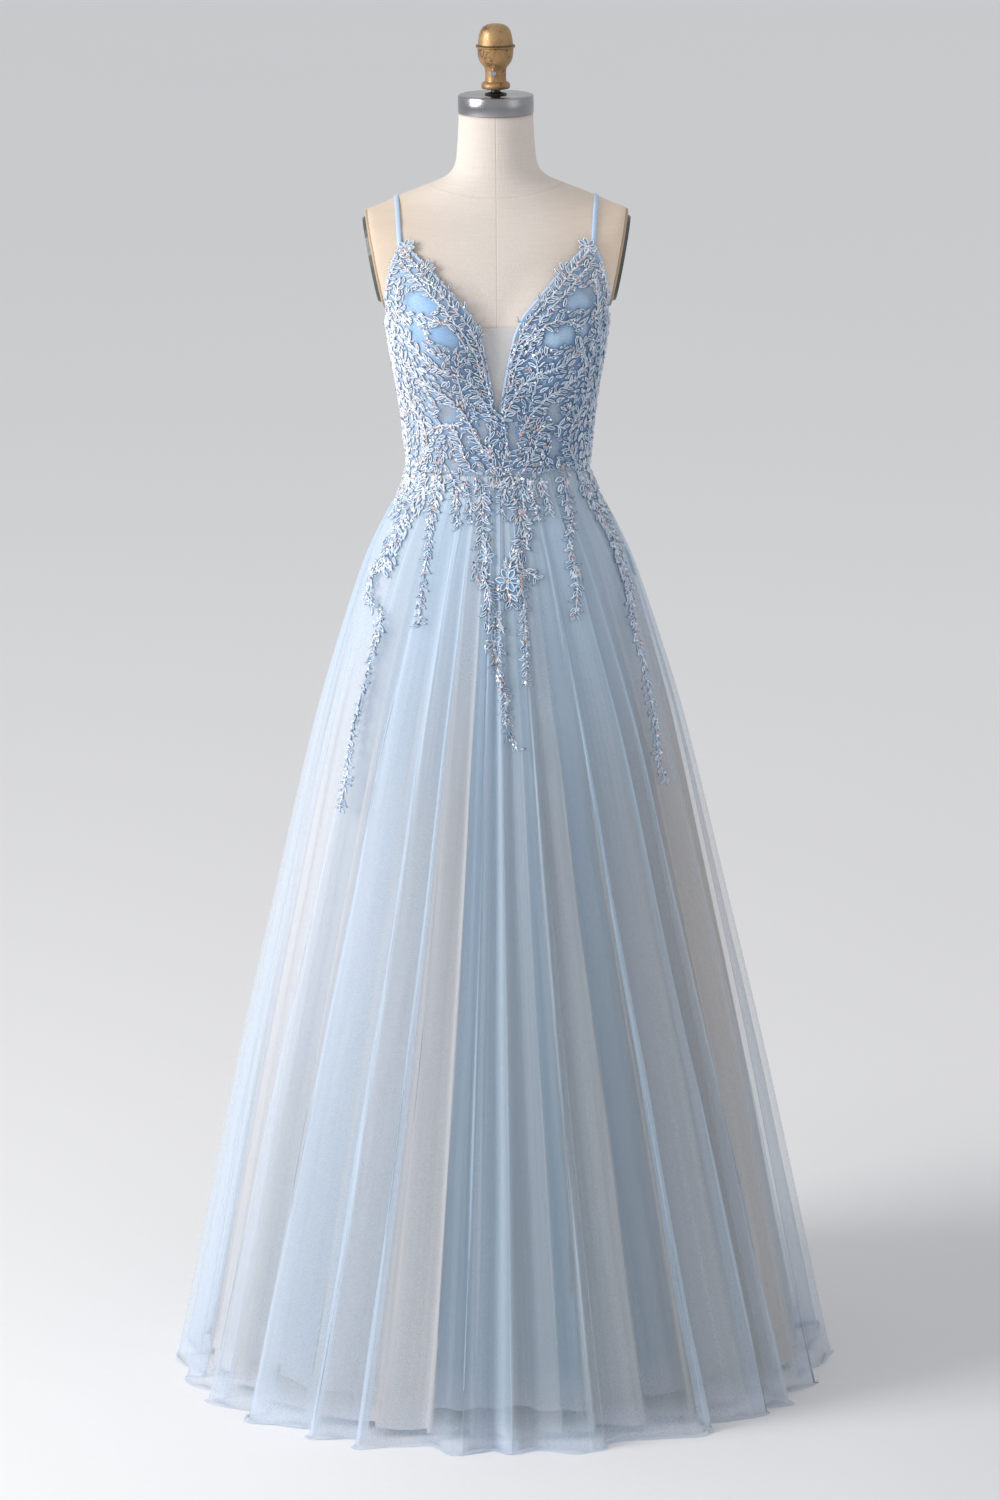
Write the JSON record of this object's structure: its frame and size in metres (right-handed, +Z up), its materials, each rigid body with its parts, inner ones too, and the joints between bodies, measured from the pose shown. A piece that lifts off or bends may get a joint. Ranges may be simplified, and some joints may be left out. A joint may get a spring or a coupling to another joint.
{
  "type": "ball gown on dress form",
  "caption": "Floor-length ball gown with a deep V bodice, thin straps, leafy corded lace and a folded tulle skirt, worn on a limbless dress form with a round stand.",
  "frame": {"origin": "on the floor under the dress form's axis, at the centre of the stand base's underside", "axes": "+Z up the form, -Y towards the gown's front, +X to the right as seen from the front"},
  "size_m": [0.8429, 0.8281, 1.7215],
  "materials": {
    "linen": "plain-woven natural linen over a padded shell",
    "brushed_steel": "brushed round the neck",
    "black_plastic": "satin black",
    "antique_bronze": "aged bronze lacquer on a turned finial",
    "plate_paint": "dark grey-green, satin",
    "stand_paint": "black, satin",
    "blue_tulle": "soft pale-blue tulle, sheer",
    "nude_tulle": "warm grey-beige tulle, sheer",
    "blue_lining": "pale-blue lining, soft sheen",
    "blue_satin": "bright pale-blue satin",
    "corded_lace": "blue corded lace with clear sequins and small beads"
  },
  "bodies": {
    "root": {"form_torso": "linen", "form_neck_cap": "brushed_steel", "form_finial_screw": "brushed_steel", "form_finial_seat": "black_plastic", "form_finial": "antique_bronze", "form_armhole_plate_left": "plate_paint", "form_armhole_plate_right": "plate_paint", "stand_pole": "stand_paint", "stand_base": "stand_paint", "bodice_front": "blue_tulle", "bodice_back_left": "blue_tulle", "bodice_back_right": "blue_tulle", "skirt_overlay_front": "blue_tulle", "skirt_overlay_back": "blue_tulle", "neck_insert": "nude_tulle", "skirt_underlay_front": "nude_tulle", "skirt_underlay_back": "nude_tulle", "skirt_lining_front": "blue_lining", "skirt_lining_back": "blue_lining", "cup_left": "blue_satin", "cup_right": "blue_satin", "strap_left": "blue_satin", "strap_right": "blue_satin", "back_zip": "blue_satin", "neck_binding_left": "blue_satin", "neck_binding_right": "blue_satin", "armhole_binding_left": "blue_satin", "armhole_binding_right": "blue_satin", "back_binding_left": "blue_satin", "back_binding_right": "blue_satin", "lace_neckline_left": "corded_lace", "lace_neckline_right": "corded_lace", "lace_armhole_left": "corded_lace", "lace_armhole_right": "corded_lace", "lace_bust_left": "corded_lace", "lace_bust_right": "corded_lace", "lace_midriff_left": "corded_lace", "lace_midriff_right": "corded_lace", "lace_back_neckline_left": "corded_lace", "lace_back_neckline_right": "corded_lace", "lace_back_side_left": "corded_lace", "lace_back_side_right": "corded_lace", "lace_back_middle_left": "corded_lace", "lace_back_middle_right": "corded_lace", "spray_centre_left": "corded_lace", "spray_centre_right": "corded_lace", "spray_inner_left": "corded_lace", "spray_inner_right": "corded_lace", "spray_outer_left": "corded_lace", "spray_outer_right": "corded_lace", "spray_back_outer_left": "corded_lace", "spray_back_outer_right": "corded_lace", "spray_back_inner_left": "corded_lace", "spray_back_inner_right": "corded_lace"}
  },
  "joints": []
}
